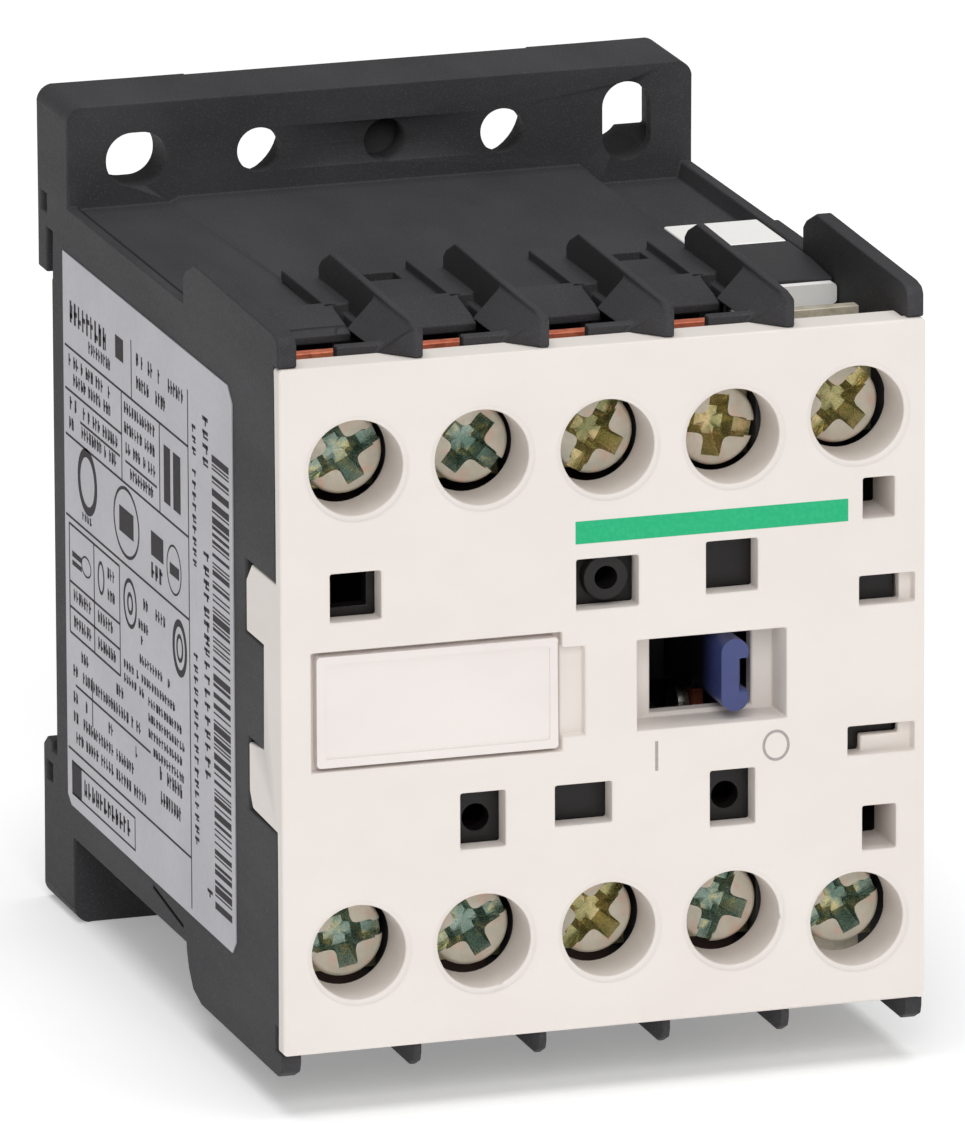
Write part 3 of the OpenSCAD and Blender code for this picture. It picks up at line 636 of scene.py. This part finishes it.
HEAD = screw_head_mesh()
UP_Z, DOWN_Z = 15.43, -17.88
SCREWS = [
    # kind, x and z of its well, turn in degrees, tint of the recess, how far it sits off the well in x and z
    ("pole", POLE_X[0], UP_Z, 28, 1, 0.12, 0.14), ("pole", POLE_X[1], UP_Z, -40, 1, 0.12, 0.14),
    ("pole", POLE_X[2], UP_Z, 60, 2, 0.1, 0.08), ("pole", POLE_X[3], UP_Z, -10, 2, -0.06, -0.06),
    ("coil", COIL_X, 16.3, 46, 2, -0.18, -0.1),
    ("pole", POLE_X[0], DOWN_Z, 10, 1, 0.0, 0.16), ("pole", POLE_X[1], DOWN_Z, 28, 1, 0.04, 0.14),
    ("pole", POLE_X[2], DOWN_Z, 48, 2, -0.04, 0.18), ("pole", POLE_X[3], DOWN_Z, 70, 1, -0.03, 0.18),
    ("coil", COIL_X, -18.75, 25, 1, -0.03, 0.18),
]


def build_screws(kind, name):
    """All screws of one kind as one piece: worn heads, tinted recesses and threaded shanks."""
    bm = bmesh.new()
    for which, x, z, turn, tint, off_x, off_z in SCREWS:
        if which != kind:
            continue
        part = bmesh.new()
        part.from_mesh(HEAD)
        for f in part.faces:
            c = f.calc_center_median()
            top = c.y < 0.06 * MM and f.normal.y < -0.9
            side = math.hypot(c.x, c.z) > (HEAD_R - 0.14) * MM
            f.material_index = 0 if top or side else tint
        bmesh.ops.bevel(part, geom=[e for e in part.edges if len(e.link_faces) == 2
                                    and e.calc_face_angle(0) > math.radians(35)
                                    and e.calc_length() > 0.12 * MM],
                        offset=0.045 * MM, offset_type="OFFSET", segments=2, profile=0.5, affect="EDGES",
                        clamp_overlap=False, material=-1)
        add_thread(part, HEAD_H - 0.1, SHANK_END - HEAD_Y, SHANK_R, THREAD_R, THREAD_PITCH)
        spin = Matrix.Rotation(math.radians(-turn), 4, "Y")
        place = Matrix.Translation(((x + off_x) * MM, HEAD_Y * MM, (z + off_z) * MM))
        bmesh.ops.transform(part, matrix=place @ spin, verts=part.verts[:])
        piece = bpy.data.meshes.new("tmp_screw")
        part.to_mesh(piece)
        part.free()
        bm.from_mesh(piece)
        bpy.data.meshes.remove(piece)
    ob = finish_mesh(name, bm, [HEAD_TOP, HEAD_TEAL, HEAD_OLIVE], "housing", smooth=38)
    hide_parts(kind + "_screws")


build_screws("pole", "pole_terminal_screws")
build_screws("coil", "coil_terminal_screws")

# ------------------------------------------------------------------ print on the cover

FRONT_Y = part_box("front_housing")[0].y / MM
INK_T = 0.012


def ring(bm, place, ra, rb, line, levels, n):
    """A flat oval band; place turns a level and two offsets into a point in millimetres."""
    loops = []
    for level in levels:
        for inset in (0, line):
            turns = [2 * math.pi * k / n for k in range(n)]
            loops.append([bm.verts.new([c * MM for c in place(level, (ra - inset) * math.cos(t),
                                                              (rb - inset) * math.sin(t))]) for t in turns])
    a, b, c, d = loops
    for p, q in ((a, b), (b, d), (d, c), (c, a)):
        join_loops(bm, p, q)


PRINT_Y = (FRONT_Y - INK_T, FRONT_Y + 0.01)
bm = bmesh.new()
add_box(bm, -2.0, 17.1, *PRINT_Y, 9.0, 10.55)
stripe = finish_mesh("printed_stripe", bm, [INK_GREEN], "housing", weighted=False)

# generic on and off marks: a line and a ring
bm = bmesh.new()
add_box(bm, 3.53, 3.74, *PRINT_Y, -7.1, -5.05)
ring(bm, lambda level, a, b: (12.03 + a, level, -6.07 + b), 0.96, 1.08, 0.19, PRINT_Y, 64)
bmesh.ops.recalc_face_normals(bm, faces=bm.faces[:])
marks = finish_mesh("printed_marks", bm, [INK_GREY], "housing", weighted=False)

# ------------------------------------------------------------------ print on the side label

LABEL_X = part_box("side_label")[0].x / MM
PRINT_X = (LABEL_X - 0.01, LABEL_X + 0.005)


def ink_box(bm, ya, yb, za, zb):
    """A printed patch from depth ya to yb, counted from the rear panel."""
    add_box(bm, *PRINT_X, -max(ya, yb), -min(ya, yb), min(za, zb), max(za, zb))


def greek(bm, rng, ya, yb, z, h, width=0.62, fill=0.85):
    """A row of illegible strokes from depth ya to yb, standing in for small print."""
    y = ya
    while y < yb - width:
        if rng.random() > fill:
            y += width * 0.9
            continue
        w = width * rng.uniform(0.55, 0.8)
        cut = rng.uniform(0.25, 0.75)
        ink_box(bm, y, y + w * rng.uniform(0.4, 0.65), z, z + h)
        ink_box(bm, y, y + w, z + h * cut - h * 0.11, z + h * cut + h * 0.11)
        if rng.random() < 0.6:
            ink_box(bm, y + w * 0.7, y + w, z + h * rng.uniform(0, 0.3), z + h * rng.uniform(0.6, 1))
        y += width


def greek_up(bm, rng, y, z_top, z_bot, h, pitch, fill=0.9):
    """The same, running down the label."""
    z = z_top
    while z > z_bot + pitch:
        if rng.random() < fill:
            w = pitch * rng.uniform(0.5, 0.75)
            cut = rng.uniform(0.2, 0.8)
            ink_box(bm, y, y + h, z - w * 0.45, z)
            ink_box(bm, y + h * cut - h * 0.1, y + h * cut + h * 0.1, z - w, z)
            if rng.random() < 0.5:
                ink_box(bm, y + h * 0.3, y + h, z - w, z - w * 0.72)
        z -= pitch


def label_ring(bm, y, z, ry, rz, line):
    ring(bm, lambda level, a, b: (level, -y + a, z + b), ry, rz, line, PRINT_X, 48)


def label_print():
    """Rules, illegible rows, plain marks and random bars: nothing on the label can be read."""
    rng = random.Random(41)
    bm = bmesh.new()
    line = 0.17
    for ya, yb, z in ((6.7, 36.1, 12.25), (6.7, 20.3, 9.2), (6.7, 36.1, 5.95), (10.3, 19.9, 7.55),
                      (21.2, 28.7, 7.55), (6.6, 36.1, 0.2), (7.3, 19.5, -0.3), (7.3, 19.5, -4.4),
                      (7.3, 19.5, -6.2), (7.3, 19.5, -8.05), (6.6, 36.0, -16.45), (8.5, 26.6, -11.6)):
        ink_box(bm, ya, yb, z - line / 2, z + line / 2)
    for y, za, zb in ((22.8, 16.4, 12.25), (36.15, 16.2, -20.0), (20.35, 12.25, 5.95), (29.4, 12.25, 5.95),
                      (7.3, -0.3, -8.05), (13.3, -0.3, -8.05), (19.5, -0.3, -8.05), (12.6, -10.0, -13.5)):
        ink_box(bm, y - line / 2, y + line / 2, za, zb)
    # heading: a plain block with a bold illegible row
    greek(bm, rng, 8.0, 18.0, 14.1, 1.55, 1.0, 1.0)
    greek(bm, rng, 12.5, 18.0, 12.95, 0.85, 0.6, 1.0)
    ink_box(bm, 19.0, 20.9, 14.3, 15.9)
    # small rows of the tables
    for ya, yb, z, h in ((24.0, 26.2, 14.9, 0.9), (26.8, 30.0, 14.9, 1.0), (31.0, 35.3, 14.9, 0.95),
                         (24.0, 27.4, 13.3, 0.9), (28.0, 31.5, 13.3, 0.95),
                         (7.6, 18.2, 10.95, 0.85), (7.6, 18.2, 9.75, 0.85), (21.0, 28.8, 10.9, 0.8),
                         (21.0, 28.8, 9.5, 0.8), (7.8, 9.8, 7.9, 0.9), (11.0, 19.6, 7.9, 0.85),
                         (7.6, 9.8, 6.5, 0.85), (10.6, 19.6, 6.5, 0.85), (21.3, 28.8, 8.1, 0.8),
                         (21.8, 28.0, 6.5, 0.8), (8.3, 12.8, -5.6, 0.85), (14.2, 19.0, -5.6, 0.85),
                         (8.3, 12.8, -7.5, 0.85), (14.2, 19.0, -7.5, 0.85), (25.2, 31.0, -1.9, 0.8),
                         (24.0, 27.2, -3.5, 0.7), (24.0, 27.0, -4.5, 0.6), (24.2, 31.8, -5.9, 0.65),
                         (20.4, 33.0, -7.2, 0.62), (20.4, 25.6, -8.2, 0.62), (26.2, 34.6, -8.4, 0.62),
                         (26.2, 35.2, -9.5, 0.62), (26.2, 34.4, -10.6, 0.62), (26.2, 35.0, -11.7, 0.62),
                         (10.0, 12.4, -9.6, 0.8), (18.5, 21.0, -9.6, 0.8), (8.0, 25.6, -11.0, 0.8),
                         (8.0, 9.4, -12.9, 0.8), (10.4, 11.8, -12.9, 0.8), (16.5, 18.0, -12.9, 0.8),
                         (23.0, 24.4, -12.9, 0.8), (8.0, 22.8, -14.3, 0.8), (8.0, 26.6, -15.7, 0.8),
                         (28.8, 34.6, -12.9, 0.95), (29.0, 34.4, -14.6, 0.95)):
        greek(bm, rng, ya, yb, z, h)
    # plain round marks and a small pictogram of a bare wire end
    label_ring(bm, 11.9, 3.7, 2.35, 2.35, 0.62)
    greek(bm, rng, 10.6, 13.4, 0.75, 0.55, 0.6, 1.0)
    label_ring(bm, 21.3, 3.2, 3.1, 2.5, 0.24)
    ink_box(bm, 19.6, 23.0, 2.3, 4.1)
    ink_box(bm, 27.2, 30.1, 2.5, 4.2)
    greek(bm, rng, 27.2, 30.1, 0.9, 1.1, 0.95, 1.0)
    label_ring(bm, 32.6, 2.75, 1.75, 1.75, 0.16)
    ink_box(bm, 31.6, 33.8, 2.3, 3.1)
    ink_box(bm, 30.4, 31.9, 7.0, 11.0)
    ink_box(bm, 32.6, 34.3, 7.0, 11.0)
    label_ring(bm, 22.0, -2.3, 1.6, 1.75, 0.3)
    label_ring(bm, 22.0, -2.3, 0.7, 0.8, 0.3)
    label_ring(bm, 33.8, -2.4, 1.7, 2.0, 0.5)
    label_ring(bm, 33.8, -2.4, 0.8, 1.0, 0.3)
    ink_box(bm, 8.0, 10.3, -2.5, -2.1)
    ink_box(bm, 8.0, 10.3, -3.1, -2.75)
    label_ring(bm, 11.4, -2.45, 1.2, 0.75, 0.14)
    label_ring(bm, 15.0, -2.3, 0.8, 1.2, 0.25)
    greek(bm, rng, 16.6, 18.8, -1.9, 0.8)
    greek(bm, rng, 16.6, 18.8, -3.4, 0.8)
    # boxed mark at the bottom
    for ya, yb, za, zb in ((7.5, 22.7, -17.35, -17.2), (7.5, 22.7, -19.65, -19.5), (7.4, 7.55, -19.65, -17.2),
                           (22.6, 22.75, -19.65, -17.2), (7.5, 9.7, -19.6, -17.3)):
        ink_box(bm, ya, yb, za, zb)
    greek(bm, rng, 10.4, 22.2, -19.0, 1.15, 0.95, 1.0)
    # printed line running down the front part, and the bars
    greek_up(bm, rng, 37.1, 14.1, 3.2, 0.85, 0.78)
    greek_up(bm, rng, 37.1, -1.8, -17.0, 0.95, 0.8)
    greek_up(bm, rng, 39.6, 15.3, 11.0, 1.25, 0.95, 1.0)
    greek_up(bm, rng, 39.6, 5.9, -10.8, 1.25, 0.95, 1.0)
    greek_up(bm, rng, 39.9, -17.5, -19.3, 1.2, 0.95, 1.0)
    z = 13.1
    while z > -18.0:
        bar = rng.choice((0.12, 0.12, 0.24, 0.36, 0.5))
        ink_box(bm, 41.7, 45.6, z - bar, z)
        z -= bar + rng.choice((0.14, 0.14, 0.26, 0.4))
    bmesh.ops.recalc_face_normals(bm, faces=bm.faces[:])
    return finish_mesh("label_print", bm, [INK_BLACK], "housing", weighted=False)


label_ink = label_print()

# ------------------------------------------------------------------ floor, light and camera


def aim(ob, target):
    ob.rotation_mode = "QUATERNION"
    ob.rotation_quaternion = (Vector(target) - ob.location).to_track_quat("-Z", "Y")


def softbox(name, place, target, size, watts):
    data = bpy.data.lights.new(name, "AREA")
    data.shape = "RECTANGLE"
    data.size, data.size_y = size
    data.energy = watts
    ob = bpy.data.objects.new(name, data)
    ob.location = place
    scene.collection.objects.link(ob)
    aim(ob, target)


FLOOR_HALF = 4                                   # metres
floor_z = cad_box[0].z
bm = bmesh.new()
bm.faces.new([bm.verts.new((x * FLOOR_HALF, y * FLOOR_HALF, floor_z))
              for x, y in ((-1, -1), (1, -1), (1, 1), (-1, 1))])
floor_mesh = bpy.data.meshes.new("studio_floor")
bm.to_mesh(floor_mesh)
bm.free()
floor = bpy.data.objects.new("studio_floor", floor_mesh)
scene.collection.objects.link(floor)
ground = Surface("studio_floor")
cloud = remap(ground.tree, ground.noise(60.0), 0.3, 0.7)
pale_floor = mix_colour(ground.tree, cloud, rgba(0.9, 0.9, 0.9), rgba(0.92, 0.92, 0.92))
ground.set(Base_Color=pale_floor, Roughness=0.9, Emission_Color=rgba(1, 1, 1), Emission_Strength=0.28)
floor_mesh.materials.append(ground.mat)

world = bpy.data.worlds.new("studio")
scene.world = world
world.use_nodes = True
wt = world.node_tree
wt.nodes.clear()
w_out = wt.nodes.new("ShaderNodeOutputWorld")
w_back = new_node(wt, "ShaderNodeBackground", {"Color": rgba(1, 1, 1), "Strength": 0.25})
wt.links.new(w_back.outputs[0], w_out.inputs[0])

centre = (0, -0.028, 0)
softbox("key_front", (-0.25, -1.45, 0.95), centre, (0.9, 0.9), 10.9)
softbox("top", (0.0, -0.15, 1.4), centre, (1.2, 1.0), 12.6)

# camera fitted to the photo: direction, the point it looks at, its distance and its lens
AZ, EL, ROLL = math.radians(-17.513), math.radians(15.042), math.radians(-0.25)
LOOK_AT = Vector((0.513, -28.5, 0.284)) * MM
DISTANCE, LENS = 1.1974, 563.3408
back = Vector((math.sin(AZ) * math.cos(EL), -math.cos(AZ) * math.cos(EL), math.sin(EL)))
right0 = Vector((math.cos(AZ), math.sin(AZ), 0))
up0 = back.cross(right0)
right = right0 * math.cos(ROLL) + up0 * math.sin(ROLL)
up = up0 * math.cos(ROLL) - right0 * math.sin(ROLL)
cam_data = bpy.data.cameras.new("camera")
cam_data.sensor_width = 36
cam_data.lens = LENS
cam_data.clip_start, cam_data.clip_end = 0.1, 20
cam = bpy.data.objects.new("camera", cam_data)
place = LOOK_AT + back * DISTANCE
cam.matrix_world = Matrix(((right.x, up.x, back.x, place.x), (right.y, up.y, back.y, place.y),
                           (right.z, up.z, back.z, place.z), (0, 0, 0, 1)))
scene.collection.objects.link(cam)
scene.camera = cam
scene.view_settings.view_transform = "Standard"
